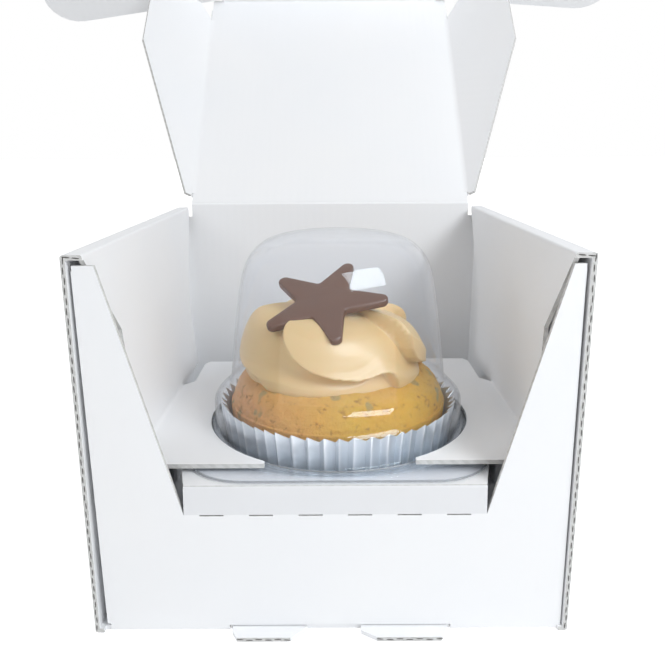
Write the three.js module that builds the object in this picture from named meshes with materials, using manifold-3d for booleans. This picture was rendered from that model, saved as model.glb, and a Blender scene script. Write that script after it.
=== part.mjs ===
// A white corrugated postal box for one cupcake, standing open, with the clear pod that it carries.
// Millimetres, +Z up. X runs across the front, Y runs from the front wall to the back wall.
// The origin is on the table, under the middle of the box.

import * as THREE from 'three';
import { mergeVertices } from 'three/addons/utils/BufferGeometryUtils.js';
import Module from 'manifold-3d';

const wasm = await Module();
wasm.setup();

// Board and clearances
const board = 1.2;            // thickness of the fine-fluted board
const gap = 0.3;              // air between pieces that rest on or beside each other
const half = board / 2;

// Outer carton
const depth = 121;            // front wall face to back wall face
const height = 98.6;          // top of the side rims
const rimHalf = 60;           // half width across the rims
const footHalf = 61.2;        // half width across the foot, where the side walls belly out
const rimWidth = 5;           // rolled rim, outer face to inner face
const sideOverhang = 0.8;     // how far the side walls' raw front edges stand in front of the front wall

// Front wall, with its window and its tear crease
const frontTop = 96;          // height of the two tall wings
const frontLeftTop = -57.9;   // left edge at the top
const frontLeftFoot = -57.2;  // left edge at the foot
const frontRightTop = 58;
const frontRightFoot = 59.6;
const windowCentre = 1.2;     // the window sits a little to the right
const windowTopHalf = 54.1;
const creaseHalf = 37.65;     // half width of the perforated crease
const creaseHeight = 33.3;
const slotCount = 6;          // cuts in the perforated crease
const slotLength = 6;
const slotPitch = 12.3;
const slotHeight = 0.35;

// Pod: clear cup with a square flange, and its dome
const podX = 2.2;
const plastic = 0.6;
const cupTopRadius = 35.2;
const cupFootRadius = 30.6;
const cupFoot = 11;
const podSet = cupTopRadius + 5.9;          // pod's centre behind the front face
const flangeSide = 2 * cupTopRadius + 9.6;
const flangeCorner = 16;
const domeFootRadius = cupTopRadius + 2.1;
const domeProfile = [         // outer radius as a share of the foot's, and height
  [1, 42.5], [1, 43.3], [0.973, 43.5], [0.973, 47.4], [0.965, 50.8], [0.949, 52], [0.845, 57.2], [0.826, 60.5],
  [0.796, 70], [0.735, 85], [0.692, 90.2], [0.617, 94.1], [0.509, 96.8], [0.349, 98.2], [0.161, 98.6], [0, 98.6],
].map(([share, z]) => [share * domeFootRadius, z]);

// Insert: riser, platform, back leg, floor strip and two tabs
const riserHalf = 37.4;       // a little narrower than the crease below it
const platformTop = 41.2;
const platformHalf = cupTopRadius + 5.3;
const platformFlare = 12;     // length over which the platform widens
const legPlace = 2 * cupTopRadius + 15.6;   // back leg, measured from the front face
const floorLift = 1.5;        // underside of the floor strip
const rampLength = 8;
const tabReach = 4.5;         // tabs in front of the front wall
const tabSlotLeft = -26.4;
const tabSlotRight = 31;
const tabs = [
  { root: [-25.5, -6.2], tip: [-24, -10.4] },
  { root: [7.7, 30.1], tip: [11.7, 28.2] },
];

// Side walls: inner panels and the shelf flaps that hang on them
const innerFrontSet = 17;     // inner panel's front edge behind the front face, below its slant
const innerFrontKnee = 76.8;
const innerBackSet = 96;
const innerBackKnee = 66;
const backClear = 2.5;        // inner panel's top corner in front of the back face
const shelves = {
  left: { sign: -1, foot: 50, top: 43.9 },   // the left inner panel leans in at its foot
  right: { sign: 1, foot: 54.4, top: 44.7 },
};
const shelfFront = 7;         // shelf flaps' front edges behind the front face
const shelfBack = 93;
const hingeBack = 67;         // back end of the shelf crease
const notchDepth = 3.6;
const holeX = 2.5;
const holeRadius = cupTopRadius + 2.7;
const mouthHalf = 0.51 * holeRadius;   // half width of the hole where it runs out at the front
const shelfSplit = 0.6;       // each flap's edge from the hole's centre line

// Corner flaps of the front and back walls, inside the side channels
const cornerFlapLength = 42;
const cornerFlapFoot = 2.2;
const cornerFlapDrop = 16;    // how far its far top corner is cut down

// Lid, wings, tuck flap and ears
const lidLean = 42.5;         // degrees past upright
const lidHalf = 54;           // hinge lines of the wings
const wingWidth = 30;
const wingRoot = 3.5;         // wing width at the back fold
const wingStart = 4;
const wingKnee = 70;          // where the wing reaches its full width
const wingEnd = 112;
const wingFold = 40;          // degrees forward of the lid
const tuckLength = 32;
const tuckFold = 90;
const tuckHalf = 50;
const tuckTipHalf = 47;
const earLength = 77;
const earRound = 14;
const earFoldLeft = 13;
const earFoldRight = 6.5;

// Cupcake
const caseTop = 50.5;
const caseTopRadius = cupTopRadius - 1.5;
const caseFootRadius = cupFootRadius - 1.6;
const pleats = 52;
const pleatDepth = 0.55;
const foil = 0.4;
const spongeEdge = 51.5;
const spongeTop = 61;
const icingRadius = cupTopRadius - 8.6;
const starSize = 0.66 * icingRadius;
const starThickness = 2.2;

const frontY = -depth / 2;
const backY = depth / 2;
const hingeY = backY - half;
const hingeZ = height + gap + half;
const podY = frontY + podSet;
const degrees = Math.PI / 180;

// Solids from three.js geometries, joined and cut with manifold
function toSolid(geometry) {
  const bare = geometry.clone();
  bare.deleteAttribute('normal');
  bare.deleteAttribute('uv');
  const merged = mergeVertices(bare, 1e-4);
  return new wasm.Manifold(new wasm.Mesh({
    numProp: 3,
    vertProperties: new Float32Array(merged.attributes.position.array),
    triVerts: new Uint32Array(merged.index.array),
  }));
}

function toGeometry(solid) {
  const mesh = solid.getMesh();
  const geometry = new THREE.BufferGeometry();
  geometry.setAttribute('position', new THREE.BufferAttribute(new Float32Array(mesh.vertProperties), 3));
  geometry.setIndex(Array.from(mesh.triVerts));
  const flat = geometry.toNonIndexed();
  flat.computeVertexNormals();
  return flat;
}

function join(geometries) {
  return geometries.map(toSolid).reduce((whole, piece) => whole.add(piece));
}

function cut(solid, geometries) {
  return geometries.map(toSolid).reduce((whole, piece) => whole.subtract(piece), solid);
}

function outline(points, holes = []) {
  const shape = new THREE.Shape(points.map(([x, y]) => new THREE.Vector2(x, y)));
  for (const hole of holes) shape.holes.push(new THREE.Path(hole.map(([x, y]) => new THREE.Vector2(x, y))));
  return shape;
}

function extrude(shape, length) {
  return new THREE.ExtrudeGeometry(shape, { depth: length, bevelEnabled: false, curveSegments: 24 });
}

// Plates: a front plate is drawn in X and Z, a floor plate in X and Y, a side plate in Y and Z
function frontPlate(points, y, thickness = board) {
  return extrude(outline(points), thickness).rotateX(Math.PI / 2).translate(0, y + thickness, 0);
}

function floorPlate(points, z, holes = [], thickness = board) {
  return extrude(outline(points, holes), thickness).translate(0, 0, z);
}

function sidePlate(points, x, thickness = board) {
  return extrude(outline(points), thickness).rotateX(Math.PI / 2).rotateZ(Math.PI / 2).translate(x, 0, 0);
}

function blockBetween([x0, x1], [y0, y1], [z0, z1]) {
  const block = new THREE.BoxGeometry(x1 - x0, y1 - y0, z1 - z0);
  return block.translate((x0 + x1) / 2, (y0 + y1) / 2, (z0 + z1) / 2);
}

// A rounded fold or nose: a rod of the board's thickness along X or along Y
function foldAlongX(x0, x1, y, z) {
  const rod = new THREE.CylinderGeometry(half, half, x1 - x0, 12);
  return rod.rotateZ(Math.PI / 2).translate((x0 + x1) / 2, y, z);
}

function foldAlongY(y0, y1, x, z) {
  const rod = new THREE.CylinderGeometry(half, half, y1 - y0, 12);
  return rod.translate(x, (y0 + y1) / 2, z);
}

// A strip of board along Y whose section runs through points in X and Z
function stripAlongY(points, y0, y1) {
  const pieces = [];
  for (let i = 0; i + 1 < points.length; i++) {
    const [ax, az] = points[i];
    const [bx, bz] = points[i + 1];
    const length = Math.hypot(bx - ax, bz - az);
    const leaf = new THREE.BoxGeometry(length, y1 - y0, board);
    leaf.rotateY(-Math.atan2(bz - az, bx - ax));
    pieces.push(leaf.translate((ax + bx) / 2, (y0 + y1) / 2, (az + bz) / 2));
    if (i > 0) pieces.push(foldAlongY(y0, y1, ax, az));
  }
  return pieces;
}

function arc(cx, cy, radius, from, to, steps) {
  return Array.from({ length: steps + 1 }, (unused, i) => {
    const angle = (from + (to - from) * i / steps) * degrees;
    return [cx + radius * Math.cos(angle), cy + radius * Math.sin(angle)];
  });
}

// The front wall with its V-shaped window, and the riser that goes on up from the perforated crease
function frontWall() {
  const riserTop = platformTop - half;
  const wall = frontPlate([
    [frontLeftFoot, half], [frontRightFoot, half], [frontRightTop, frontTop],
    [windowCentre + windowTopHalf, frontTop], [windowCentre + creaseHalf, creaseHeight],
    [windowCentre + riserHalf, riserTop], [windowCentre - riserHalf, riserTop],
    [windowCentre - creaseHalf, creaseHeight], [windowCentre - windowTopHalf, frontTop],
    [frontLeftTop, frontTop],
  ], frontY);
  return [wall, foldAlongX(windowCentre - riserHalf, windowCentre + riserHalf, frontY + half, riserTop)];
}

function creaseSlots() {
  return Array.from({ length: slotCount }, (unused, i) => {
    const x = windowCentre + (i - (slotCount - 1) / 2) * slotPitch;
    return blockBetween([x - slotLength / 2, x + slotLength / 2], [frontY - board, frontY + 2 * board],
      [creaseHeight - slotHeight / 2, creaseHeight + slotHeight / 2]);
  });
}

function bottomAndBack() {
  const backHalf = rimHalf - 2 * board + half;
  const neck = height - 3 * board;
  const neckHalf = lidHalf;
  return [
    floorPlate([[-footHalf + half, frontY + half], [footHalf - half, frontY + half],
      [footHalf - half, backY - half], [-footHalf + half, backY - half]], 0),
    foldAlongX(frontLeftFoot, frontRightFoot, frontY + half, half),
    foldAlongX(-backHalf, backHalf, backY - half, half),
    frontPlate([[-backHalf, half], [backHalf, half], [backHalf, neck], [neckHalf, neck],
      [neckHalf, hingeZ], [-neckHalf, hingeZ], [-neckHalf, neck], [-backHalf, neck]], backY - board),
    foldAlongX(-neckHalf, neckHalf, hingeY, hingeZ),
  ];
}

// One side: outer wall, rolled rim and inner panel, folded from one strip
function sideWall({ sign, foot, top }) {
  const outer = stripAlongY([
    [sign * (footHalf - 2 * board), half], [sign * (footHalf - half), half],
    [sign * (rimHalf - half), height - half], [sign * (rimHalf - rimWidth + half), height - half],
  ], frontY - sideOverhang, backY);
  const knee = [sign * (rimHalf - rimWidth + half), height - half];
  const inner = stripAlongY([knee, [sign * (foot + half), top - board]], frontY - sideOverhang, backY - backClear);
  const wide = 2 * footHalf;
  const frontSlant = sidePlate([[frontY - board, 0], [frontY + innerFrontSet, 0],
    [frontY + innerFrontSet, innerFrontKnee], [frontY, height - board], [frontY - board, height - board]],
  -wide / 2, wide);
  const backSlant = sidePlate([[backY, 0], [frontY + innerBackSet, 0],
    [frontY + innerBackSet, innerBackKnee], [backY - backClear, height - board], [backY, height - board]],
  -wide / 2, wide);
  return join(outer).add(cut(join(inner), [frontSlant, backSlant])).add(toSolid(foldAlongY(
    frontY - sideOverhang, backY - backClear, knee[0], knee[1])));
}

// Flaps of the front and back walls that stand between a side's outer wall and inner panel
function cornerFlaps() {
  const flaps = [];
  const place = rimHalf - rimWidth / 2 - half;
  for (const sign of [-1, 1]) {
    const x = sign * (place + half) - half;
    flaps.push(sidePlate([[frontY, cornerFlapFoot], [frontY + cornerFlapLength, cornerFlapFoot],
      [frontY + cornerFlapLength, frontTop - cornerFlapDrop], [frontY + board, frontTop - board],
      [frontY, frontTop - board]], x));
    flaps.push(sidePlate([[backY, cornerFlapFoot], [backY - cornerFlapLength, cornerFlapFoot],
      [backY - cornerFlapLength, frontTop - cornerFlapDrop], [backY - board, frontTop - 3 * board],
      [backY, frontTop - 3 * board]], x));
  }
  return flaps;
}

// The strip that goes on from the riser: platform with the pod's hole, back leg, floor strip, ramp and tabs
function insert() {
  const legY = frontY + legPlace;
  const left = windowCentre - platformHalf;
  const right = windowCentre + platformHalf;
  const start = frontY + half;
  const rampTop = frontY + 2 * rampLength;
  const rampFoot = frontY + rampLength;
  const platform = floorPlate([
    [windowCentre - riserHalf, start], [windowCentre + riserHalf, start],
    [right, start + platformFlare], [right, legY], [left, legY], [left, start + platformFlare],
  ], platformTop - board, [arc(podX, podY, cupTopRadius + plastic + gap, 0, 360, 48).slice(0, -1)]);
  const leg = frontPlate([[left, floorLift + half], [right, floorLift + half],
    [right, platformTop - half], [left, platformTop - half]], legY - half);
  const rampRun = sidePlate([[rampTop, floorLift], [rampTop, floorLift + board], [rampFoot, board],
    [frontY + half, board], [frontY + half, 0], [rampFoot, 0]], tabSlotLeft + gap,
  tabSlotRight - tabSlotLeft - 2 * gap);
  const strip = floorPlate([[tabSlotLeft + gap, rampTop - board], [tabSlotRight - gap, rampTop - board],
    [right, rampTop + platformFlare], [right, legY], [left, legY], [left, rampTop + platformFlare]], floorLift);
  const tongues = tabs.map(({ root, tip }) => floorPlate([
    [root[0], frontY + board], [root[0], frontY - tabReach * 0.4], [tip[0], frontY - tabReach],
    [tip[1], frontY - tabReach], [root[1], frontY - half], [root[1], frontY + board]], 0));
  return [platform, leg, rampRun, strip, ...tongues,
    foldAlongX(left, right, legY, platformTop - half), foldAlongX(left, right, legY, floorLift + half)];
}

function boxBody() {
  const tabOpening = blockBetween([tabSlotLeft, tabSlotRight],
    [frontY - board, frontY + 2 * rampLength + board], [-board, board + gap]);
  const shell = cut(join([...frontWall(), ...bottomAndBack()]), [...creaseSlots(), tabOpening]);
  return [sideWall(shelves.left), sideWall(shelves.right), join(cornerFlaps()), join(insert())]
    .reduce((whole, piece) => whole.add(piece), shell);
}

// A shelf flap lies flat from its crease to the middle, with half of the pod's hole cut from it.
// It is drawn from the crease outwards and turned over for the right side.
function shelfFlap({ sign, foot }) {
  const reach = sign < 0 ? foot + holeX - shelfSplit : foot - holeX - shelfSplit;
  const centre = sign < 0 ? foot + holeX : foot - holeX;
  const front = frontY + shelfFront;
  const back = frontY + shelfBack;
  const crease = frontY + hingeBack;
  const mouth = centre - mouthHalf;
  const start = 180 + Math.acos(mouthHalf / holeRadius) / degrees;
  const end = 90 + Math.asin(shelfSplit / holeRadius) / degrees;
  const points = [
    [gap, crease], [gap, front], [mouth, front],
    ...arc(centre, podY, holeRadius, start, end, 28),
    [reach, back], [notchDepth + 1.5, back], [notchDepth, back - 3], [notchDepth, crease + 4],
  ];
  return floorPlate(points.map(([u, v]) => [-sign * u, v]), -board);
}

function lidPanel() {
  const front = lidLength;
  return join([
    floorPlate([[-lidHalf, half + gap], [lidHalf, half + gap], [lidHalf, front], [-lidHalf, front]], -half),
    foldAlongY(wingStart, wingEnd, -lidHalf, 0), foldAlongY(wingStart, wingEnd, lidHalf, 0),
    foldAlongX(-lidHalf + half, lidHalf - half, front, 0),
  ]);
}

function lidWing(sign) {
  const root = half + gap;
  const points = [[root, wingStart], [wingRoot, wingStart], [wingWidth, wingKnee],
    [wingWidth, wingEnd - 9], [wingWidth - 3, wingEnd - 3], [root + 6, wingEnd], [root, wingEnd - 6]];
  return floorPlate(points.map(([u, v]) => [sign * u, v]), -half);
}

// An ear of the tuck flap, drawn from its own fold outwards
function tuckEar(sign) {
  const foot = half + gap + 1;
  const top = tuckLength - 4;
  const points = [[0, foot], ...arc(earLength - earRound, foot + earRound, earRound, -90, 0, 6),
    [earLength - 2, top - 4], [earLength - 6, top], [0, top]];
  const fold = sign < 0 ? earFoldLeft : -earFoldRight;
  return floorPlate(points.map(([u, v]) => [sign * u, v]), -half).rotateY(fold * degrees)
    .translate(sign * tuckHalf, 0, 0);
}

function tuckFlap() {
  const root = half + gap;
  return join([
    floorPlate([[-tuckHalf, root], [tuckHalf, root], [tuckHalf, tuckLength - 4], [tuckTipHalf, tuckLength],
      [-tuckTipHalf, tuckLength], [-tuckHalf, tuckLength - 4]], -half),
    foldAlongY(root + 1, tuckLength - 4, -tuckHalf, 0), foldAlongY(root + 1, tuckLength - 4, tuckHalf, 0),
    tuckEar(-1), tuckEar(1),
  ]);
}

const lidLength = depth - board - half - gap - half;

// The pod's cup hangs from a square flange with round corners
function podBase() {
  const flangeTop = platformTop + gap + plastic;
  const side = flangeSide / 2;
  const core = side - flangeCorner;
  const corners = [[1, -1, -90], [1, 1, 0], [-1, 1, 90], [-1, -1, 180]];
  const edge = corners.flatMap(([sx, sy, from]) => arc(sx * core, sy * core, flangeCorner, from, from + 90, 6));
  const opening = arc(0, 0, cupTopRadius - plastic, 0, 360, 48).slice(0, -1);
  const flange = floorPlate(edge, flangeTop - plastic, [opening], plastic);
  const cup = new THREE.LatheGeometry([
    [0, cupFoot], [cupFootRadius, cupFoot], [cupTopRadius, flangeTop - plastic / 2],
    [cupTopRadius - plastic, flangeTop - plastic / 2], [cupFootRadius - plastic, cupFoot + plastic],
    [0, cupFoot + plastic],
  ].map(([r, z]) => new THREE.Vector2(r, z)), 48).rotateX(Math.PI / 2);
  return join([flange, cup]);
}

function podDome() {
  const inside = domeProfile.slice(2).map(([r, z]) => [Math.max(r - plastic, 0), r < 25 ? z - plastic : z]);
  const foot = [inside[0][0], domeProfile[0][1]];
  const wall = [foot, ...domeProfile, ...inside.slice(1).reverse(), foot];
  return toSolid(new THREE.LatheGeometry(wall.map(([r, z]) => new THREE.Vector2(r, z)), 48).rotateX(Math.PI / 2));
}

// A closed skin over rings of points, each ring with the same number of points
function loft(rings) {
  const count = rings[0].length;
  const positions = rings.flat(2);
  const index = [];
  const bottom = rings.length * count;
  const mean = (ring) => [0, 1, 2].map((axis) => ring.reduce((sum, point) => sum + point[axis], 0) / count);
  positions.push(...mean(rings[0]), ...mean(rings[rings.length - 1]));
  for (let i = 0; i + 1 < rings.length; i++) {
    for (let j = 0; j < count; j++) {
      const next = (j + 1) % count;
      const [a, b, c, d] = [i * count + j, i * count + next, (i + 1) * count + next, (i + 1) * count + j];
      index.push(a, b, c, a, c, d);
    }
  }
  const last = (rings.length - 1) * count;
  for (let j = 0; j < count; j++) {
    const next = (j + 1) % count;
    index.push(bottom, next, j, bottom + 1, last + j, last + next);
  }
  const geometry = new THREE.BufferGeometry();
  geometry.setAttribute('position', new THREE.BufferAttribute(new Float32Array(positions), 3));
  geometry.setIndex(index);
  return geometry;
}

function ring(count, radiusAt, heightAt) {
  return Array.from({ length: count }, (unused, j) => {
    const angle = 2 * Math.PI * j / count;
    const r = radiusAt(angle);
    return [r * Math.cos(angle), r * Math.sin(angle), heightAt(angle)];
  });
}

const caseFoot = cupFoot + plastic + gap;

// The foil case: a pleated skin, open at the top
function foilCase() {
  const count = pleats * 4;
  const radius = (z) => caseFootRadius + (caseTopRadius - caseFootRadius) * (z - caseFoot) / (caseTop - caseFoot);
  const outside = (z) => ring(count, (angle) => radius(z) + pleatDepth * Math.cos(pleats * angle), () => z);
  const inside = (z) => ring(count, (angle) => radius(z) - foil + pleatDepth * Math.cos(pleats * angle), () => z);
  return toSolid(loft([outside(caseFoot), outside(caseTop), inside(caseTop), inside(caseFoot + foil)]));
}

function sponge() {
  const z0 = caseFoot + foil + gap;
  const slack = pleatDepth + foil + 2 * gap;
  const radius = (z) => caseFootRadius + (caseTopRadius - caseFootRadius) * (z - caseFoot) / (caseTop - caseFoot);
  const top = caseTopRadius;
  const profile = [[0, z0], [radius(z0) - slack, z0], [radius(spongeEdge) - slack - 0.6, spongeEdge - 2.5],
    [top - 3.1, spongeEdge], [top - 3.9, spongeEdge + 2.5], [top - 6.1, spongeEdge + 5],
    [top - 9.7, spongeEdge + 7.2], [top / 2, spongeTop - 0.8],
    [9, spongeTop], [0, spongeTop]];
  return new THREE.LatheGeometry(profile.map(([r, z]) => new THREE.Vector2(r, z)), 40).rotateX(Math.PI / 2);
}

// The icing: one soft swirl whose folds turn as they rise
const icingRings = [          // share of the radius, height, depth of the folds, turn in degrees
  [0.64, 61.4, 0, 0], [0.885, 61.6, 0.4, 4], [0.99, 64.2, 1.1, 14], [1, 67.6, 1.6, 30], [0.925, 70.8, 2, 50],
  [0.805, 72.6, 2.1, 72], [0.67, 74.4, 2, 96], [0.51, 76.2, 1.6, 124], [0.325, 77.8, 1, 150], [0.13, 78.6, 0.3, 170],
];
const icingFolds = 5;

function icing() {
  return loft(icingRings.map(([share, z, fold, turn]) => ring(60,
    (angle) => share * icingRadius + fold * Math.cos(icingFolds * (angle - turn * degrees)),
    (angle) => z + 0.5 * fold * Math.sin(icingFolds * (angle - turn * degrees)))));
}

// The chocolate star with soft points leans on the icing, its middle at this place over the pod's centre
const starPlace = [-3.65, -8.6, 80.05];
const [starTilt, starRoll, starSpin] = [26.5, -9.9, -16.9];

function star(grow = 0) {
  const soft = starSize * 0.1;
  const thickness = starThickness + 2 * grow;
  const points = [];
  for (let i = 0; i < 5; i++) {
    const tip = 90 + i * 72;
    const [tx, ty] = [Math.cos(tip * degrees), Math.sin(tip * degrees)];
    const reach = starSize - soft;
    points.push(...arc(tx * reach, ty * reach, soft + grow, tip - 60, tip + 60, 3));
    const dip = tip + 36;
    const inner = starSize * 0.46 + grow;
    points.push([inner * Math.cos(dip * degrees), inner * Math.sin(dip * degrees)]);
  }
  return extrude(outline(points), thickness).translate(0, 0, -thickness / 2)
    .rotateZ(starRoll * degrees).rotateX(starTilt * degrees).rotateZ(starSpin * degrees).translate(...starPlace);
}

// Materials
const looks = {
  card: { color: 0xf4f5f6, roughness: 0.75, metalness: 0 },
  clear: { color: 0xeaf0f4, roughness: 0.08, metalness: 0, transparent: true, opacity: 0.25 },
  foil: { color: 0xc9cdd3, roughness: 0.25, metalness: 0.9 },
  sponge: { color: 0xd9a24e, roughness: 0.9, metalness: 0 },
  icing: { color: 0xecc794, roughness: 0.55, metalness: 0 },
  chocolate: { color: 0x5a4038, roughness: 0.45, metalness: 0 },
};

function piece(name, shape, look) {
  const geometry = shape.isBufferGeometry ? shape : toGeometry(shape);
  const mesh = new THREE.Mesh(geometry, new THREE.MeshStandardMaterial(looks[look]));
  mesh.name = name;
  return mesh;
}

function turned(parent, [x, y, z], axis, angle, mesh) {
  const group = new THREE.Group();
  group.position.set(x, y, z);
  group.rotation[axis] = angle * degrees;
  group.add(mesh);
  parent.add(group);
  return group;
}

const cupcakeBox = new THREE.Group();
cupcakeBox.add(piece('box_body', boxBody(), 'card'));

for (const [side, shelf] of Object.entries(shelves)) {
  const crease = [shelf.sign * shelf.foot, 0, shelf.top];
  turned(cupcakeBox, crease, 'y', 0, piece(`${side}_shelf_flap`, shelfFlap(shelf), 'card'));
}

const lid = turned(cupcakeBox, [0, hingeY, hingeZ], 'x', 90 - lidLean, piece('lid_panel', lidPanel(), 'card'));
turned(lid, [-lidHalf, 0, 0], 'y', wingFold, piece('lid_left_wing', lidWing(-1), 'card'));
turned(lid, [lidHalf, 0, 0], 'y', -wingFold, piece('lid_right_wing', lidWing(1), 'card'));
turned(lid, [0, lidLength, 0], 'x', tuckFold, piece('tuck_flap', tuckFlap(), 'card'));

const pod = new THREE.Group();
pod.position.set(podX, podY, 0);
pod.add(piece('pod_base', podBase(), 'clear'));
pod.add(piece('pod_dome', podDome(), 'clear'));
pod.add(piece('foil_case', foilCase(), 'foil'));
pod.add(piece('cupcake_sponge', sponge(), 'sponge'));
pod.add(piece('icing_swirl', cut(toSolid(icing()), [star(gap)]), 'icing'));
pod.add(piece('chocolate_star', star(), 'chocolate'));
cupcakeBox.add(pod);

export default cupcakeBox;
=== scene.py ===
import bpy
import math
from mathutils import Matrix, Vector, noise


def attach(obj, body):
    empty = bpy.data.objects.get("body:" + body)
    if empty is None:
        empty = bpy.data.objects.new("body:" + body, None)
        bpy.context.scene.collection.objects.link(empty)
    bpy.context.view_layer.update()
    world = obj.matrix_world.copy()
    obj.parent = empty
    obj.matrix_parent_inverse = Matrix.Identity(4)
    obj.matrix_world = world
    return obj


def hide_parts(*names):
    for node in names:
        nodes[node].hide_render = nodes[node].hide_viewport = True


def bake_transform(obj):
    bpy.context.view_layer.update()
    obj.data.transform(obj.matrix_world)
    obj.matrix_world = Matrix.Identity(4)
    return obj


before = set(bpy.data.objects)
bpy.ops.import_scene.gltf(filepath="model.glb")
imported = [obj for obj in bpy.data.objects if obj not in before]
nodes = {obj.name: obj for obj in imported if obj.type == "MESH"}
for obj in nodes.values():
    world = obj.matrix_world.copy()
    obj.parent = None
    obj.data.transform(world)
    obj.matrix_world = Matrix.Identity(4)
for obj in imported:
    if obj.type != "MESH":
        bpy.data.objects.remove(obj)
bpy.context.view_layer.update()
scene = bpy.context.scene
mm = 0.001
right, back, up = Vector((1, 0, 0)), Vector((0, 1, 0)), Vector((0, 0, 1))
print("frame loaded")


class Value:
    # a node's output that can be written in sums
    def __init__(self, graph, socket):
        self.graph = graph
        self.socket = socket

    def math(self, operation, other=0.0, swap=False):
        first, second = (other, self) if swap else (self, other)
        return self.graph.add("ShaderNodeMath", {"operation": operation}, {0: first, 1: second})

    def __add__(self, other): return self.math("ADD", other)
    def __radd__(self, other): return self.math("ADD", other, True)
    def __sub__(self, other): return self.math("SUBTRACT", other)
    def __rsub__(self, other): return self.math("SUBTRACT", other, True)
    def __mul__(self, other): return self.math("MULTIPLY", other)
    def __rmul__(self, other): return self.math("MULTIPLY", other, True)
    def __mod__(self, other): return self.math("MODULO", other)
    def __pow__(self, other): return self.math("POWER", other)
    def __lt__(self, other): return self.math("LESS_THAN", other)
    def __gt__(self, other): return self.math("GREATER_THAN", other)
    def __abs__(self): return self.math("ABSOLUTE")

    def sine(self): return self.math("SINE")
    def most(self, other): return self.math("MAXIMUM", other)
    def least(self, other): return self.math("MINIMUM", other)


class Graph:
    # a node tree, emptied first; every node in it comes from add
    def __init__(self, tree):
        self.nodes = tree.nodes
        self.links = tree.links
        self.nodes.clear()

    def add(self, kind, settings=None, sockets=None, out=0):
        node = self.nodes.new(kind)
        for key, value in (settings or {}).items():
            setattr(node, key, value)
        for key, value in (sockets or {}).items():
            if isinstance(value, Value):
                self.links.new(value.socket, node.inputs[key])
            else:
                node.inputs[key].default_value = value
        return Value(self, node.outputs[out]) if len(node.outputs) else None


class Finish(Graph):
    # a material, and the steps that several materials share
    def __init__(self, name):
        self.material = bpy.data.materials.new(name)
        self.material.use_nodes = True
        super().__init__(self.material.node_tree)

    def place(self):
        return self.add("ShaderNodeTexCoord", out="Object")

    def split(self, vector):
        first = self.add("ShaderNodeSeparateXYZ", {}, {0: vector})
        return [Value(self, socket) for socket in first.socket.node.outputs]

    def grain(self, vector, scale, detail=3.0, roughness=0.55):
        return self.add("ShaderNodeTexNoise", {}, {"Vector": vector, "Scale": scale, "Detail": detail,
                                                   "Roughness": roughness}, "Fac")

    def blendColours(self, mask, first, second):
        # 6, 7 and 2 are the Mix node's two colours and their blend
        first, second = (tint if isinstance(tint, Value) else (*tint, 1) for tint in (first, second))
        return self.add("ShaderNodeMix", {"data_type": "RGBA"}, {0: mask, 6: first, 7: second}, 2)

    def blendShaders(self, mask, first, second):
        return self.add("ShaderNodeMixShader", {}, {0: mask, 1: first, 2: second})

    def bump(self, height, strength, distance, normal=None):
        sockets = {"Height": height, "Strength": strength, "Distance": distance}
        if normal is not None:
            sockets["Normal"] = normal
        return self.add("ShaderNodeBump", {}, sockets)

    def close(self, shader):
        self.add("ShaderNodeOutputMaterial", {}, {"Surface": shader})
        return self.material

    def surface(self, **sockets):
        return self.close(self.add("ShaderNodeBsdfPrincipled", {}, {
            key.replace("_", " "): (*value, 1) if isinstance(value, tuple) else value
            for key, value in sockets.items()}))


card = {
    "white": (0.86, 0.875, 0.9),
    "warmWhite": (0.9, 0.9, 0.905),
    "flutePitch": 3.1 * mm,
    "washboard": 0.05,      # how strongly the flutes show through
    "riser": {"face": -58.9, "bottom": 33.5, "top": 41.2, "middle": 1.2, "half": 37.6},
    # painted shade on the riser's front
    "paintedRiserShade": (0.66, 0.67, 0.695),
    "rawEdge": (0.7, 0.7, 0.69),
    # painted shade of the open flutes on a cut edge, mixed with the edge's darker grain
    "rawDark": (0.3, 0.29, 0.28),
    # painted shade inside the open flute ends
    "cell": (0.05, 0.048, 0.045),
    "cellSpeck": (0.16, 0.15, 0.14),
}


def cardFinish():
    finish = Finish("whiteCard")
    place = finish.place()
    x, y, z = finish.split(place)
    normal = finish.add("ShaderNodeTexCoord", out="Normal")
    sideways = abs(finish.split(normal)[0]) > 0.6       # faces to the left or right have flutes along y
    across = x * (1 - sideways) + z * sideways
    flutes = (across * (math.tau / card["flutePitch"])).sine()
    fibre = finish.grain(place, scale=900, detail=4)
    cloud = finish.grain(place, scale=24, detail=2)
    tint = finish.blendColours(cloud, card["white"], card["warmWhite"])
    riser = card["riser"]       # painted shade: its front is painted greyer than the rest of the card
    front = y < riser["face"] * mm
    riserShadeMask = (front * (z > riser["bottom"] * mm) * (z < riser["top"] * mm)
               * (abs(x - riser["middle"] * mm) < riser["half"] * mm))
    tint = finish.blendColours(riserShadeMask * (0.35 + cloud * 0.2), tint, card["paintedRiserShade"])
    ribbed = finish.bump(flutes, strength=card["washboard"], distance=0.1 * mm)
    return finish.surface(Base_Color=tint, Roughness=0.62 + fibre * 0.15, Specular_IOR_Level=0.35,
                          Normal=finish.bump(fibre, strength=0.12, distance=0.05 * mm, normal=ribbed))


def rawEdgeFinish():
    finish = Finish("rawCardEdge")
    place = finish.place()
    x, y, z = finish.split(place)
    # the bands are painted shade of the open flutes; they run at a slant, so that a cut edge in any direction
    # crosses them, and the specks are the edge's own grain
    cells = ((x + y * 0.9 + z * 1.1) * (math.tau / card["flutePitch"])).sine() > 0.25
    speck = finish.grain(place, scale=1500, detail=3)
    tint = finish.blendColours((cells * 0.16 + speck * 0.35).least(1.0), card["rawEdge"], card["rawDark"])
    return finish.surface(Base_Color=tint, Roughness=0.9,
                          Normal=finish.bump(speck, strength=0.4, distance=0.1 * mm))


def fluteCellFinish():
    # painted shade: near-black cells stand for the shade inside the open flutes
    finish = Finish("fluteShadow")
    speck = finish.grain(finish.place(), scale=1200, detail=2)
    return finish.surface(Base_Color=finish.blendColours(speck, card["cell"], card["cellSpeck"]), Roughness=1.0)


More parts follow.
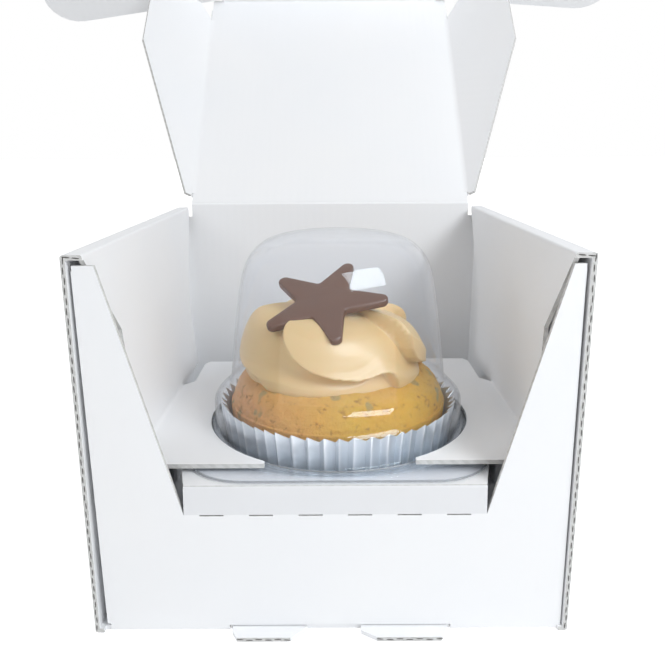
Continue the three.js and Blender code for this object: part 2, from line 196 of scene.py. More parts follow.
pod = {
    "centre": Vector((2.2, -19.4, 0)) * mm,
    "around": 128,          # points in each ring
    "tint": (0.985, 0.99, 1.0),
    "film": (0.88, 0.91, 0.95),
    # painted shade for the wall where it is seen edge-on
    "edgeShade": (0.3, 0.32, 0.34),
    # painted shade on the sheet's cut and rolled edges
    "cutEdge": (0.36, 0.38, 0.4),
    "glare": 0.014,         # mirrored where the wall is seen head-on
    "edgeGlare": 0.6,       # added to that where it is seen edge-on
    "haze": 0.01,
    "edgeHaze": 0.08,
    "cupHaze": 0.34,        # the cup is drawn thinner and clouds a little
    "cupTop": 41.9,
    # share of that painted edge shade
    "darkEdge": 0.5,
    "wall": 0.4,
    "cupWall": 0.5,
    "dome": [(37.3, 42.6), (37.2, 43.3), (36.4, 43.8), (36.3, 47.0), (36.2, 50.4), (35.95, 51.4), (35.3, 52.3),
             (32.5, 55.1), (31.7, 56.1), (31.2, 57.4), (30.9, 59.4), (30.5, 63), (29.7, 70), (28.6, 78),
             (27.4, 85), (25.8, 90.2), (23.0, 94.1), (19.0, 96.7), (13, 98.1), (6, 98.5), (0.02, 98.5)],
    "cup": [(0.02, 11.7), (29.6, 11.7), (34.6, 41.5)],      # inside, from the middle of its floor to its mouth
    "cupUnderside": (0.02, 11.2),
    "mouthBend": [(0.3, -0.1), (0.8, 0)],       # outwards from the mouth, and up from the flange's top
    "mouthUnder": 0.6,
    "flange": {"side": 40.0, "corner": 16.0, "top": 42.1, "thick": 0.5, "edge": [(-0.3, 0), (0, -0.2)],
               "bevel": 0.5},
    "domeSteps": 5,
    "cupSteps": 6,
    "bead": 0.24,
    "beadSides": 8,
    "flangeBead": (-0.2, 41.85),
    "domeBead": (37.15, 43.0),
}


def clearFinish():
    finish = Finish("clearPlastic")
    facing = finish.add("ShaderNodeLayerWeight", {}, {"Blend": 0.5}, "Facing")
    ripple = finish.bump(finish.grain(finish.place(), scale=60, detail=1), strength=0.12, distance=0.4 * mm)
    glare = (pod["glare"] + facing ** 5.0 * pod["edgeGlare"]).least(1.0)
    through = finish.add("ShaderNodeBsdfTransparent", {}, {"Color": (*pod["tint"], 1)})
    shine = finish.add("ShaderNodeBsdfGlossy", {}, {"Color": (1, 1, 1, 1), "Roughness": 0.04, "Normal": ripple})
    inCup = finish.split(finish.place())[2] < pod["cupTop"] * mm
    haze = inCup * pod["cupHaze"] + facing ** 3.0 * pod["edgeHaze"] + pod["haze"]
    film = finish.add("ShaderNodeBsdfDiffuse", {}, {"Color": (*pod["film"], 1)})
    # painted shade: a grey matt layer darkens the wall where it is seen edge-on
    grey = finish.add("ShaderNodeBsdfDiffuse", {}, {"Color": (*pod["edgeShade"], 1)})
    edged = finish.blendShaders(facing ** 12.0 * pod["darkEdge"], finish.blendShaders(haze, through, film), grey)
    return finish.close(finish.blendShaders(glare, edged, shine))


def clearEdgeFinish():
    finish = Finish("clearPlasticEdge")      # painted shade: a sheet's cut or rolled edge is painted partly grey
    cloud = finish.grain(finish.place(), scale=90, detail=2)
    through = finish.add("ShaderNodeBsdfTransparent", {}, {"Color": (0.97, 0.98, 1.0, 1)})
    grey = finish.add("ShaderNodeBsdfPrincipled", {}, {"Base Color": (*pod["cutEdge"], 1), "Roughness": 0.2})
    return finish.close(finish.blendShaders(0.35 + cloud * 0.5, through, grey))


foilLook = {
    "grey": (0.4, 0.45, 0.49),
    "paleGrey": (0.66, 0.71, 0.76),
    # painted light on the upper part of the case
    "paintedTopLight": (0.9, 0.92, 0.95),
    # painted highlight along the pleat ridges
    "paintedRidgeHighlight": (0.97, 0.975, 0.98),
}


def foilFinish():
    finish = Finish("brightFoil")
    place = finish.place()
    crease = finish.grain(place, scale=420, detail=5, roughness=0.65)
    patch = finish.grain(place, scale=70, detail=2)
    ridge = finish.add("ShaderNodeAttribute", {"attribute_name": "ridge"}, out="Fac")
    height = finish.split(place)[2]
    face = finish.blendColours(patch, foilLook["grey"], foilLook["paleGrey"])
    # painted light: the case is painted lighter higher up
    paintedLitFace = finish.blendColours(((height - 20 * mm) * 12).most(0.0).least(0.4), face, foilLook["paintedTopLight"])
    # painted highlight: the pleat ridges are painted near white
    tint = finish.blendColours((ridge ** 7.0 * 0.9 + crease * 0.1).least(1.0), paintedLitFace, foilLook["paintedRidgeHighlight"])
    return finish.surface(Base_Color=tint, Metallic=0.75, Roughness=0.24 + crease * 0.2,
                          Normal=finish.bump(crease, strength=0.35, distance=0.25 * mm))


spongeLook = {
    "amber": (0.9, 0.4, 0.02),
    "gold": (0.72, 0.52, 0.07),
    "paintedLeftHaze": (0.9, 0.46, 0.25),     # painted light: the left side is painted paler and pinker, standing in for the dome's haze and the light from the left
    "pale": (0.86, 0.58, 0.17),     # near the top
    # painted shade in the crumb's pits
    "pit": (0.42, 0.17, 0.03),
    "fleck": (0.36, 0.32, 0.16),
}


def spongeFinish():
    finish = Finish("goldenSponge")
    place = finish.place()
    x, y, z = finish.split(place)
    crumb = finish.grain(place, scale=430, detail=7, roughness=0.72)
    patch = finish.grain(place, scale=55, detail=3)
    seeds = finish.grain(place, scale=190, detail=1)
    tint = finish.blendColours(patch, spongeLook["amber"], spongeLook["gold"])
    layers = {
        # painted light: paler and pinker on the left side
        "paintedLeftHaze": ((6 * mm - x) * 26 + patch * 0.5 - 0.28).most(0.0).least(0.75),
        "pale": ((z - 54.5 * mm) * 120 * crumb).most(0.0).least(0.5),
        # painted shade: darker where the crumb dips
        "pit": ((0.45 - crumb) * 7).most(0.0).least(0.8),
        "fleck": ((seeds - 0.66) * 12).most(0.0).least(0.6),
    }
    for look, mask in layers.items():
        tint = finish.blendColours(mask, tint, spongeLook[look])
    return finish.surface(Base_Color=tint, Roughness=0.78, Subsurface_Weight=0.15, Subsurface_Scale=1.5 * mm,
                          Normal=finish.bump(crumb, strength=0.9, distance=1.3 * mm))


def icingFinish():
    finish = Finish("caramelIcing")
    place = finish.place()
    cloud = finish.grain(place, scale=45, detail=3)
    smear = finish.grain(place, scale=260, detail=2)
    tint = finish.blendColours(cloud, (0.76, 0.53, 0.25), (0.81, 0.6, 0.31))
    return finish.surface(Base_Color=tint, Roughness=0.42 + smear * 0.12, Subsurface_Weight=0.15,
                          Subsurface_Scale=1.2 * mm, Coat_Weight=0.08,
                          Normal=finish.bump(smear, strength=0.12, distance=0.2 * mm))


def chocolateFinish():
    finish = Finish("milkChocolate")
    bloom = finish.grain(finish.place(), scale=160, detail=4)
    tint = finish.blendColours(bloom, (0.1, 0.037, 0.017), (0.15, 0.064, 0.034))
    return finish.surface(Base_Color=tint, Roughness=0.38 + bloom * 0.2, Coat_Weight=0.15,
                          Normal=finish.bump(bloom, strength=0.15, distance=0.3 * mm))


whiteCard, rawEdge, fluteShadow = cardFinish(), rawEdgeFinish(), fluteCellFinish()
clearPlastic, brightFoil, goldenSponge = clearFinish(), foilFinish(), spongeFinish()
caramelIcing, milkChocolate, clearEdge = icingFinish(), chocolateFinish(), clearEdgeFinish()
print("finishes made")


def finishPiece(name, mesh, material, body, replaces=(), smooth=True):
    piece = bpy.data.objects.new(name, mesh)
    scene.collection.objects.link(piece)
    mesh.materials.clear()
    mesh.materials.append(material)
    mesh.polygons.foreach_set("use_smooth", [smooth] * len(mesh.polygons))
    if replaces:
        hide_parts(*replaces)
    if body:
        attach(piece, body)
    return piece


def meshFrom(name, points, faces, edges=()):
    mesh = bpy.data.meshes.new(name)
    mesh.from_pydata([tuple(p) for p in points], edges, faces)
    mesh.update()
    return mesh


def loft(name, rings, closed=True):
    # a skin over rings with equal point counts: closed joins the last ring to the first, and open caps both
    count = len(rings[0])
    points = [p for ring in rings for p in ring]
    faces = []
    spans = len(rings) if closed else len(rings) - 1
    for i in range(spans):
        for j in range(count):
            k = (j + 1) % count
            n = (i + 1) % len(rings)
            faces.append((i * count + j, i * count + k, n * count + k, n * count + j))
    if not closed:
        faces.append(tuple(range(count - 1, -1, -1)))
        faces.append(tuple((len(rings) - 1) * count + j for j in range(count)))
    return meshFrom(name, points, faces)


def smoothLine(points, steps):
    # a Catmull-Rom curve through 2D points
    line = []
    for i in range(len(points) - 1):
        p0, p1 = points[max(i - 1, 0)], points[i]
        p2, p3 = points[i + 1], points[min(i + 2, len(points) - 1)]
        for s in range(steps):
            t = s / steps
            line.append(tuple(0.5 * (2 * b + (c - a) * t + (2 * a - 5 * b + 4 * c - d) * t * t
                                     + (3 * b - a - 3 * c + d) * t ** 3)
                              for a, b, c, d in zip(p0, p1, p2, p3)))
    return line + [points[-1]]


def circle(radius, height, count=pod["around"], wave=lambda angle: (0.0, 0.0)):
    # a ring about the pod's axis; wave gives what to add outwards and upwards in each direction
    ring = []
    for j in range(count):
        angle = math.tau * j / count
        out, rise = wave(angle)
        r = radius + out
        ring.append(pod["centre"] + Vector((r * math.cos(angle), r * math.sin(angle), height + rise)) * mm)
    return ring


# The lid stands open: its directions as it stands in the photo
lid = {
    "lean": 47.5,
    "fold": Vector((0, 59.9, 99.5)),
    "length": 118.3,
    "half": 54,
    "wingTurn": 40,
    "earTurns": (13, -6.5),
}
lean = math.radians(lid["lean"])
inward = Vector((0, -math.sin(lean), math.cos(lean)))     # the lid's inner side
along = Vector((0, math.cos(lean), math.sin(lean)))       # from the lid's fold to its front
leftTurn, rightTurn = (Matrix.Rotation(math.radians(lid["wingTurn"] * side), 3, along) for side in (1, -1))

# Cut ends of the board: which flat faces of each card piece are raw
cuts = {
    "front": -61.2,                 # the walls and tabs end in front of this
    "windowWall": (-60.6, -59.2),
    "windowSill": 32,
    "windowHalf": 59,
    "innerPanel": (48, 56.4),       # how far the inner panels stand from the middle
    "innerHeight": (42, 97),
    "innerDepth": (-60.4, 59.2),
    # how much of a face's normal points square to the board, at least for the first and at most for the rest
    "square": {"front": 0.9, "window": 0.3, "inner": 0.25, "shelf": 0.5},
    "slant": 0.3,                   # how far a normal must be from the board's own
}
flatNormals = {
    "lid_left_wing": [leftTurn @ inward],
    "lid_right_wing": [rightTurn @ inward],
    "tuck_flap": [along] + [Matrix.Rotation(math.radians(turn), 3, inward) @ along for turn in lid["earTurns"]],
}
cardNodes = ["box_body", "left_shelf_flap", "right_shelf_flap", "lid_panel", "lid_left_wing", "lid_right_wing",
             "tuck_flap"]


def isRaw(node, centre, normal):
    x, y, z = (c / mm for c in centre)
    square = cuts["square"]

    def inside(value, span):
        return cuts[span][0] < value < cuts[span][1]

    if node == "box_body":
        frontEnd = y < cuts["front"] and abs(normal.y) > square["front"]
        windowEdge = (inside(y, "windowWall") and abs(normal.y) < square["window"]
                      and z > cuts["windowSill"] and abs(x) < cuts["windowHalf"])
        innerEdge = (inside(abs(x), "innerPanel") and abs(normal.x) < square["inner"]
                     and inside(z, "innerHeight") and inside(y, "innerDepth"))
        return frontEnd or windowEdge or innerEdge
    if node.endswith("shelf_flap"):
        return abs(normal.z) < square["shelf"]
    if node in flatNormals:
        return min(abs(abs(normal.dot(n)) - 1) for n in flatNormals[node]) > cuts["slant"]
    return False


for name in cardNodes:
    mesh = nodes[name].data
    mesh.materials.clear()
    mesh.materials.append(whiteCard)
    mesh.materials.append(rawEdge)
    for face in mesh.polygons:
        face.material_index = 1 if isRaw(name, face.center, face.normal) else 0
print("card finished")


# Creases: a bent strip of the board bridges each hinge line, from one panel to the other
crease = {
    "reach": 1.7,           # from the hinge line to the strip's ends
    "steps": 8,
    "thickness": 1.16,
}
creases = {
    "lidCrease": {"bodies": ("carton", "lid"), "at": lid["fold"], "line": right, "span": (-53.9, 53.9),
                  "first": -up, "second": along},
    "leftWingCrease": {"bodies": ("lid", "left_wing"), "at": lid["fold"] - right * lid["half"], "line": along,
                       "span": (5, 105), "first": right, "second": leftTurn @ -right},
    "rightWingCrease": {"bodies": ("lid", "right_wing"), "at": lid["fold"] + right * lid["half"], "line": along,
                        "span": (5, 105), "first": -right, "second": rightTurn @ right},
    "tuckCrease": {"bodies": ("lid", "tuck"), "at": lid["fold"] + along * lid["length"], "line": right,
                   "span": (-49.6, 49.6), "first": -along, "second": inward},
    "leftShelfCrease": {"bodies": ("carton", "left_shelf"), "at": Vector((-50.6, 0, 43.3)), "line": back,
                        "span": (-43.4, 6.4), "first": Vector((-0.09, 0, 1)), "second": right},
    "rightShelfCrease": {"bodies": ("carton", "right_shelf"), "at": Vector((55.0, 0, 44.1)), "line": back,
                         "span": (-43.4, 6.4), "first": up, "second": -right},
}


def makeCrease(name, spec):
    start, end = (spec["at"] + spec[way].normalized() * crease["reach"] for way in ("first", "second"))
    path = []
    for i in range(crease["steps"] + 1):
        t = i / crease["steps"]
        path.append(start * (1 - t) ** 2 + spec["at"] * 2 * t * (1 - t) + end * t * t)
    section = []
    for i, point in enumerate(path):
        ahead = path[min(i + 1, crease["steps"])] - path[max(i - 1, 0)]
        side = ahead.cross(spec["line"]).normalized() * crease["thickness"] / 2
        section.append((point + side, point - side))
    outline = [a for a, b in section] + [b for a, b in reversed(section)]
    rings = [[(p + spec["line"] * s) * mm for p in outline] for s in spec["span"]]
    piece = finishPiece(name, loft(name, rings, closed=False), whiteCard, None, smooth=False)
    start * mm
    end * mm
    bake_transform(piece)


for name, spec in creases.items():
    makeCrease(name, spec)
print("creases made")


# Raw flute ends: Geometry Nodes set small dark cells, painted shade of the open flutes, along the cut edges that
# face forward
fluteEnds = {
    "pitch": 2.3,
    "length": 1.9,
    "width": 0.3,
    "shift": 0.1,           # the cells lie on either side of the middle in turn
    "sides": 8,
    # where each edge starts and ends, seen from the front, and how far forward it is
    "edges": [
        ((-60.6, 1.5), (-59.4, 97.4), -61.35),
        ((60.6, 1.5), (59.4, 97.4), -61.35),
        ((-58.6, 98.0), (-56.4, 98.0), -61.35),
        ((58.6, 98.0), (56.4, 98.0), -61.35),
        ((-23.2, 0.6), (-11.2, 0.6), -65.05),
        ((12.4, 0.6), (27.6, 0.6), -65.05),
    ],
}


def fluteTree():
    tree = bpy.data.node_groups.new("fluteCells", "GeometryNodeTree")
    graph = Graph(tree)
    tree.interface.new_socket("Geometry", in_out="INPUT", socket_type="NodeSocketGeometry")
    for label in ("pitch", "length", "width", "shift"):
        socket = tree.interface.new_socket(label, in_out="INPUT", socket_type="NodeSocketFloat")
        socket.default_value = fluteEnds[label] * mm
    tree.interface.new_socket("Geometry", in_out="OUTPUT", socket_type="NodeSocketGeometry")

    edges, pitch, length, width, shift = (graph.add("NodeGroupInput", out=i) for i in range(5))
    curve = graph.add("GeometryNodeMeshToCurve", {}, {"Mesh": edges})
    spaced = graph.add("GeometryNodeResampleCurve", {"mode": "LENGTH"}, {"Curve": curve, "Length": pitch})
    inTurn = graph.add("GeometryNodeInputIndex") % 2.0 * 2.0 - 1.0
    tangent = graph.add("GeometryNodeInputTangent")
    side = graph.add("ShaderNodeVectorMath", {"operation": "CROSS_PRODUCT"}, {0: tangent, 1: -back})
    offset = graph.add("ShaderNodeVectorMath", {"operation": "SCALE"}, {0: side, "Scale": inTurn * shift})
    moved = graph.add("GeometryNodeSetPosition", {}, {"Geometry": spaced, "Offset": offset})
    disc = graph.add("GeometryNodeMeshCircle", {"fill_type": "NGON"},
                     {"Vertices": fluteEnds["sides"], "Radius": 0.5})
    size = graph.add("ShaderNodeCombineXYZ", {}, {0: length, 1: width, 2: 1.0})
    cell = graph.add("GeometryNodeTransform", {}, {"Geometry": disc, "Scale": size,
                                                   "Rotation": (math.pi / 2, 0, 0)})
    turned = graph.add("FunctionNodeAlignRotationToVector", {"axis": "X", "pivot_axis": "Y"}, {"Vector": tangent})
    placed = graph.add("GeometryNodeInstanceOnPoints", {}, {"Points": moved, "Instance": cell,
                                                            "Rotation": turned})
    real = graph.add("GeometryNodeRealizeInstances", {}, {0: placed})
    painted = graph.add("GeometryNodeSetMaterial", {}, {"Geometry": real, "Material": fluteShadow})
    graph.add("NodeGroupOutput", {}, {0: painted})
    return tree


def makeFluteEnds():
    points = [Vector((x, y, z)) * mm for start, end, y in fluteEnds["edges"] for x, z in (start, end)]
    lines = meshFrom("fluteLines", points, [], [(i, i + 1) for i in range(0, len(points), 2)])
    carrier = bpy.data.objects.new("fluteLines", lines)
    scene.collection.objects.link(carrier)
    carrier.modifiers.new("cells", "NODES").node_group = fluteTree()
    bpy.context.view_layer.update()
    mesh = bpy.data.meshes.new_from_object(carrier.evaluated_get(bpy.context.evaluated_depsgraph_get()))
    mesh.name = "raw_flute_ends"
    bpy.data.objects.remove(carrier)
    finishPiece("raw_flute_ends", mesh, fluteShadow, "carton", smooth=False)


makeFluteEnds()
print("flute ends made")


# Pod: one thin lathed wall for the dome, and a cup that ends in a square flange with round corners
def makeDome():
    profile = smoothLine(pod["dome"], pod["domeSteps"])
    inside = []
    for i, (r, z) in enumerate(profile):
        before, after = profile[max(i - 1, 0)], profile[min(i + 1, len(profile) - 1)]
        dr, dz = after[0] - before[0], after[1] - before[1]
        span = math.hypot(dr, dz)
        inside.append((max(r - dz / span * pod["wall"], 0.02), z + dr / span * pod["wall"]))
    mesh = loft("dome", [circle(r, z) for r, z in profile + inside[::-1]])
    finishPiece("clear_dome", mesh, clearPlastic, "carton", ["pod_dome"])


def squareRing(grow, height):
    # the flange's outline, one point for each direction from the centre
    half = pod["flange"]["side"] + grow
    corner = pod["flange"]["corner"] + grow
    core = half - corner
    ring = []
    for j in range(pod["around"]):
        angle = math.tau * j / pod["around"]
        c, s = abs(math.cos(angle)), abs(math.sin(angle))
        reach = half / max(c, s)
        if c * reach > core and s * reach > core:
            mid = core * (c + s)
            reach = mid + math.sqrt(max(mid * mid - 2 * core * core + corner * corner, 0))
        ring.append(pod["centre"] + Vector((reach * math.cos(angle), reach * math.sin(angle), height)) * mm)
    return ring


def makeCup():
    spec, wall = pod["flange"], pod["cupWall"]
    under = spec["top"] - spec["thick"]
    inside = smoothLine(pod["cup"][1:], pod["cupSteps"])
    mouth = inside[-1][0]
    inner = [pod["cup"][0], *inside, *((mouth + out, spec["top"] + rise) for out, rise in pod["mouthBend"])]
    flange = [*((grow, spec["top"] + rise) for grow, rise in spec["edge"]), (0, under), (-spec["bevel"], under)]
    outer = [(mouth + pod["mouthUnder"], under), *((r + wall, z - wall) for r, z in reversed(inside)),
             pod["cupUnderside"]]
    rings = [circle(r, z) for r, z in inner]
    rings += [squareRing(grow, z) for grow, z in flange]
    rings += [circle(r, z) for r, z in outer]
    finishPiece("clear_cup", loft("cup", rings, closed=False), clearPlastic, "carton", ["pod_base"])


def makeBead(name, ring):
    # a rolled edge: a round section carried along a closed ring of points
    count = len(ring)
    angles = [math.tau * k / pod["beadSides"] for k in range(pod["beadSides"])]
    rings = []
    for i, point in enumerate(ring):
        ahead = (ring[(i + 1) % count] - ring[i - 1]).normalized()
        side = ahead.cross(up).normalized()
        rings.append([point + (side * math.cos(a) + up * math.sin(a)) * pod["bead"] * mm for a in angles])
    finishPiece(name, loft(name, rings), clearEdge, "carton")


makeDome()
makeCup()
makeBead("flange_rolled_edge", squareRing(*pod["flangeBead"]))
makeBead("dome_rolled_foot", circle(*pod["domeBead"]))
print("pod made")


foilCase = {
    "pleats": 52,
    "pleatPoints": 12,
    "levels": 10,
    "foot": (29.0, 11.95),
    "rim": (33.7, 50.9),
    "pleatFoot": 0.6,
    "pleatRim": 1.9,
    "rise": 0.74,           # share of a pleat that slopes one way; it falls back over the rest
    "wobble": (0.35, 6),    # how unequal the pleats are, and how often that changes around the case
    "bend": (0.35, 4, 3),   # how far the wall bends, and how often around and upwards
    "zigzag": 1.9,          # the rim dips between pleats
    "zigzagPower": 6,
    "foil": 0.12,
}


def makeFoilCase():
    spec = foilCase
    count = spec["pleats"] * spec["pleatPoints"]
    rise, (unequal, changes), (bending, around, upwards) = spec["rise"], spec["wobble"], spec["bend"]

    def pleat(angle):
        turn = angle * spec["pleats"] / math.tau
        wobble = noise.noise(Vector((math.cos(angle) * changes, math.sin(angle) * changes, 1.0))) * unequal
        phase = (turn + wobble) % 1.0
        return 1 - 2 * (phase / rise if phase < rise else (1 - phase) / (1 - rise))

    outside = [(i / spec["levels"], 0) for i in range(spec["levels"] + 1)]
    rings = []
    for t, side in outside + [(t, 1) for t, side in reversed(outside)]:
        radius = spec["foot"][0] + (spec["rim"][0] - spec["foot"][0]) * t - side * spec["foil"]
        depth = spec["pleatFoot"] + (spec["pleatRim"] - spec["pleatFoot"]) * t
        lift = spec["zigzag"] * t ** spec["zigzagPower"]
        height = spec["foot"][1] + (spec["rim"][1] - spec["foot"][1]) * t + side * (spec["foil"] * (1 - t))

        def wave(angle, depth=depth, lift=lift, t=t):
            spot = Vector((math.cos(angle) * around, math.sin(angle) * around, t * upwards))
            bend = noise.noise(spot) * bending
            p = pleat(angle)
            return depth * (p * 0.5) + bend, -lift * (0.5 - 0.5 * p)

        rings.append(circle(radius, height, count, wave))
    mesh = loft("foilCase", rings, closed=False)
    ridge = mesh.attributes.new("ridge", "FLOAT", "POINT")
    turns = [0.5 + 0.5 * pleat(math.tau * j / count) for j in range(count)]
    ridge.data.foreach_set("value", turns * len(rings))
    finishPiece("pleated_foil_case", mesh, brightFoil, "carton", ["foil_case"], smooth=False)


sponge = {
    "profile": [(27.4, 12.7), (31.2, 46), (30.9, 50.3), (30.3, 52.4), (29.4, 54.6), (27.4, 56.8), (23.8, 58.8),
                (16.5, 60.4), (8, 61), (0.02, 61)],
    "around": 180,
    "steps": 6,
    "crumb": (0.55, 0.45, 4),       # how rough it is, how fine, and in how many layers
    "swell": (0.8, 0.09),
    "caseTop": 51,          # the case presses the sponge smooth below this
    "pressed": 0.25,
}


def makeSponge():
    (height, fineness, layers), (swelling, swellFineness) = sponge["crumb"], sponge["swell"]
    rings = []
    for r, z in smoothLine(sponge["profile"], sponge["steps"]):
        def crumb(angle, r=r, z=z):
            spot = Vector((r * math.cos(angle), r * math.sin(angle), z))
            rough = noise.fractal(spot * fineness, 1.0, 2.0, layers) * height
            swell = noise.noise(spot * swellFineness) * swelling
            ease = 1.0 if z > sponge["caseTop"] else sponge["pressed"]
            return (rough * 0.5 + swell * 0.4) * ease, (rough * 0.5 + swell * 0.5) * (ease if r > 0.1 else 0)
        rings.append(circle(r, z, sponge["around"], crumb))
    finishPiece("golden_sponge", loft("sponge", rings, closed=False), goldenSponge, "carton",
                ["cupcake_sponge"])


icing = {
    "shift": -1.4,          # the swirl sits a little to the left
    "profile": [(12, 60.4), (20.5, 58.2), (24.0, 57.2), (25.3, 58.3), (25.7, 60.6), (25.7, 64), (25.2, 67.5),
                (24.0, 71), (22.0, 73.8), (18.8, 75.8), (14, 77), (8, 77.8), (0.02, 78.4)],
    "around": 450,
    "steps": 10,
    "widest": 27.2,
    "petals": 5,
    "lip": 6.6,             # how far a petal's edge stands out
    "curl": 2.6,            # how far it stands up at the shoulder
    "shoulder": (75, 6),    # its height, and how far above and below it the curl reaches
    "plain": 4,             # radius of the top's plain middle
    "fade": 14,             # over which the petals begin
    "foot": (56, 7, 0.3),   # where the petals begin at the foot, over what height, and their least share
    "edge": 0.055,          # share of a petal that its steep edge takes
    "taper": 1.25,          # how fast a petal sinks behind its edge
    "level": 0.42,          # taken off lips and curls, so that the petals lie about the profile
    "curlLevel": 0.45,
    "unequal": (0.85, 0.25, 2.4),   # mean size of a petal, how much it varies, and its step from one to the next
    "soft": (1.2, 1.4, 0.07, 12),   # how uneven, how often around and upwards, and over what radius it begins
    "firstPetal": -124.0,   # direction of the front petal's edge at the top
    # height, and how far the edge has turned below the top
    "path": [(82, -6), (78, -1), (74.5, 1), (71.2, 5), (68, 10), (65.4, 17), (63.6, 26), (62.4, 38), (61.2, 50),
             (60, 60), (57, 66)],
    "lifts": [(-56, 13, 3.6), (-130, 16, 1.2)],     # direction, width and height of places where an edge rides up
    "sway": [(0.1, 2, 0.6), (0.06, 3, 2.1)],        # size, count and phase of what makes the petals unequal
}


def makeIcing():
    spec = icing
    period = math.tau / spec["petals"]

    def turnAt(z):
        for (z0, t0), (z1, t1) in zip(spec["path"], spec["path"][1:]):
            if z >= z1:
                break
        part = (z0 - z) / (z0 - z1)
        return math.radians(spec["firstPetal"] + t0 + (t1 - t0) * part)

    (shoulder, reach), (foot, footRise, footLeast) = spec["shoulder"], spec["foot"]
    (mean, spread, stride), (uneven, around, upwards, softFade) = spec["unequal"], spec["soft"]
    rings = []
    for r, z in smoothLine(spec["profile"], spec["steps"]):
        # the petals fade towards the middle of the top and towards the foot
        strength = (spec["lip"] * min(1, max(r - spec["plain"], 0) / spec["fade"])
                    * min(1, max(footLeast, (z - foot) / footRise)))
        curl = spec["curl"] * max(0, 1 - abs(z - shoulder) / reach) * min(1, r / spec["fade"])

        def fold(angle, strength=strength, curl=curl, r=r, z=z):
            sway = sum(size * math.sin(angle * count + phase) for size, count, phase in spec["sway"])
            rise = sum(high * math.exp(-((math.degrees(angle) - at + 180) % 360 - 180) ** 2 / wide ** 2)
                       for at, wide, high in spec["lifts"])
            turn = (angle + sway - turnAt(z - rise)) / period
            phase = turn % 1.0
            size = mean + spread * math.sin(math.floor(turn) * stride)
            step = min(1.0, phase / spec["edge"])
            wave = step * step * (3 - 2 * step) * (1 - phase) ** spec["taper"]
            spot = Vector((math.cos(angle) * around, math.sin(angle) * around, z * upwards))
            soft = noise.noise(spot) * uneven
            out = strength * (wave * size - spec["level"]) + soft * min(1, r / softFade)
            return min(out, spec["widest"] - r), curl * (wave * size - spec["curlLevel"])

        shift = right * spec["shift"] * mm
        rings.append([p + shift for p in circle(r, z, spec["around"], fold)])
    finishPiece("caramel_swirl", loft("icing", rings, closed=False), caramelIcing, "carton",
                ["icing_swirl"])


star = {
    "points": 5,
    "size": 17.6,
    "at": (-3.65, -8.6, 80.05),     # its middle over the pod's centre
    "turn": (26.5, -9.9, -16.9),    # tilt, roll and spin
    "thickness": 2.2,
    "round": 0.45,
    "inner": 0.45,                  # the dips' share of its size
    "soft": 0.1,                    # how round its points are
    "tipAngles": range(-60, 61, 15),
    "dipAngles": range(-8, 9, 4),
    "dipCurve": 0.0006,             # rounds the dips
    "bevel": 1.4,
    "middle": (0.12, 2.2),          # how far its top rises, and how far in from the rim
}


def makeStar():
    size, half, edge = star["size"], star["thickness"] / 2, star["round"]
    soft = size * star["soft"]
    step = 360 / star["points"]
    rim = []
    for i in range(star["points"]):
        tip = math.radians(90 + step * i)
        for degrees in star["tipAngles"]:
            angle = tip + math.radians(degrees)
            rim.append(Vector((math.cos(tip) * (size - soft) + soft * math.cos(angle),
                               math.sin(tip) * (size - soft) + soft * math.sin(angle), 0)))
        dip = tip + math.radians(step / 2)
        for degrees in star["dipAngles"]:
            angle = dip + math.radians(degrees)
            rim.append(Vector((math.cos(angle), math.sin(angle), 0)) * size
                       * (star["inner"] + star["dipCurve"] * degrees * degrees))
    # height and inset of each layer, from the underside to the slightly raised middle
    raised, inwards = star["middle"]
    layers = [(-half, edge), (-half + edge * 0.3, edge * 0.3), (-half + edge, 0), (half - edge, 0),
              (half - edge * 0.3, edge * 0.3), (half, edge), (half + raised, inwards)]
    tilt, roll, spin = (math.radians(a) for a in star["turn"])
    place = (Matrix.Translation(pod["centre"] + Vector(star["at"]) * mm) @ Matrix.Rotation(spin, 4, "Z")
             @ Matrix.Rotation(tilt, 4, "X") @ Matrix.Rotation(roll, 4, "Z") @ Matrix.Scale(mm, 4))
    rings = [[place @ (p * (1 - inset / size * star["bevel"]) + up * z) for p in rim] for z, inset in layers]
    finishPiece("moulded_star", loft("star", rings, closed=False), milkChocolate, "carton",
                ["chocolate_star"])


makeFoilCase()
makeSponge()
makeIcing()
makeStar()
print("cupcake made")


studio = {
    "camera": (0.73, -213.8, 122.0),
    "lens": 37.35,
    "sensor": 36,
    "clip": (0.01, 50),     # in metres, like the two lines on the floor
    "pitch": 15.23,
    "roll": -0.3,
    "sky": 0.53,
    "floor": (0.97, 0.97, 0.97),
    "floorHalf": 6,
    "floorHeight": -0.0003,
    "floorGlow": 0.75,      # only seen by the camera, in mirrors and through clear pieces
    "lamps": [
        # rays: which rays see the lamp, the matt ones or the mirrored ones
        {"name": "windowLight", "at": (330, -350, 400), "aim": (0, 0, 60), "size": (240, 200), "watts": 1.7,
         "colour": (0.95, 0.975, 1.0), "rays": "matt"},
        {"name": "roomLight", "at": (-500, -160, 440), "aim": (20, 0, 80), "size": (300, 240), "watts": 0.5,
         "colour": (1, 0.995, 0.985), "rays": "matt"},
        {"name": "windowGleam", "at": (330, -460, 473), "aim": (9, -44, 89), "size": (520, 420), "watts": 9.5,
         "colour": (0.82, 0.93, 1.0), "rays": "mirrored"},
    ],
}


def makeCamera():
    lens = bpy.data.cameras.new("photoCamera")
    lens.lens, lens.sensor_width, lens.sensor_fit = studio["lens"], studio["sensor"], "HORIZONTAL"
    lens.clip_start, lens.clip_end = studio["clip"]
    camera = bpy.data.objects.new("photoCamera", lens)
    camera.matrix_world = (Matrix.Translation(Vector(studio["camera"]) * mm)
                           @ Matrix.Rotation(math.radians(90 - studio["pitch"]), 4, "X")
                           @ Matrix.Rotation(math.radians(studio["roll"]), 4, "Z"))
    scene.collection.objects.link(camera)
    scene.camera = camera


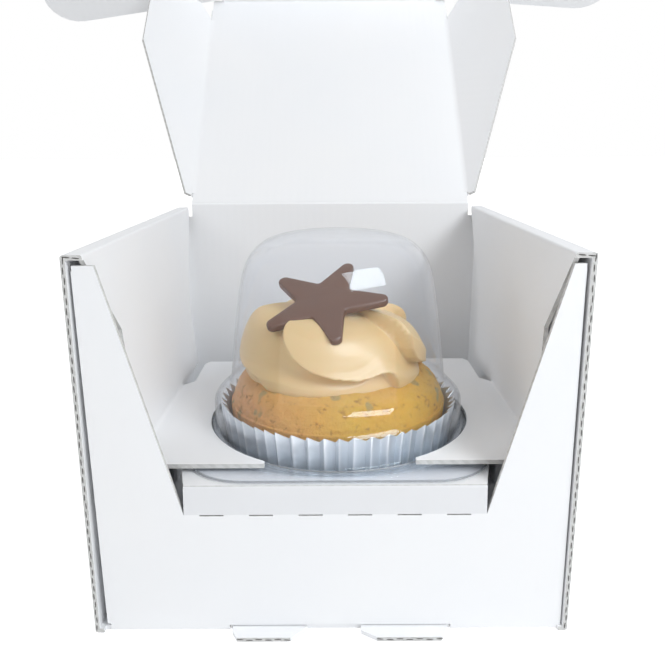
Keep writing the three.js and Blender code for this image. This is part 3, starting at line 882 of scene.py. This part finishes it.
def makeLamp(spec):
    lamp = bpy.data.lights.new(spec["name"], "AREA")
    lamp.shape = "RECTANGLE"
    lamp.size, lamp.size_y = (s * mm for s in spec["size"])
    lamp.energy, lamp.color = spec["watts"], spec["colour"]
    holder = bpy.data.objects.new(spec["name"], lamp)
    holder.location = Vector(spec["at"]) * mm
    holder.visible_glossy = spec["rays"] == "mirrored"
    holder.visible_diffuse = spec["rays"] == "matt"
    aim = (Vector(spec["aim"]) - Vector(spec["at"])) * mm
    holder.rotation_euler = aim.to_track_quat("-Z", "Y").to_euler()
    scene.collection.objects.link(holder)


def seenBy(graph, *kinds):
    # one on rays of these kinds, nought on the others
    first, *others = (graph.add("ShaderNodeLightPath", out=f"Is {kind} Ray") for kind in kinds)
    for other in others:
        first = first.most(other)
    return first


def makeFloor():
    half, height = studio["floorHalf"], studio["floorHeight"]
    corners = [(x * half, y * half, height) for x, y in ((-1, -1), (1, -1), (1, 1), (-1, 1))]
    mesh = meshFrom("floor", corners, [(0, 1, 2, 3)])
    floor = bpy.data.objects.new("paleFloor", mesh)
    scene.collection.objects.link(floor)
    pale = Finish("paleFloor")
    glow = pale.blendColours(seenBy(pale, "Camera", "Glossy", "Transmission"), (0, 0, 0),
                             (studio["floorGlow"],) * 3)
    mesh.materials.append(pale.surface(Base_Color=studio["floor"], Roughness=0.9, Emission_Color=glow,
                                       Emission_Strength=1.0))


def makeSky():
    # the camera and mirrors see white, everything else a softer light
    world = bpy.data.worlds.new("softSky")
    world.use_nodes = True
    sky = Graph(world.node_tree)
    strength = sky.add("ShaderNodeMapRange", {}, {"Value": seenBy(sky, "Camera", "Glossy"),
                                                  "To Min": studio["sky"], "To Max": 1.0}, "Result")
    light = sky.add("ShaderNodeBackground", {}, {"Color": (1, 1, 1, 1), "Strength": strength})
    sky.add("ShaderNodeOutputWorld", {}, {"Surface": light})
    scene.world = world


makeCamera()
for lampSpec in studio["lamps"]:
    makeLamp(lampSpec)
makeFloor()
makeSky()
scene.view_settings.view_transform = "Standard"
scene.view_settings.look = "None"
print("studio set")
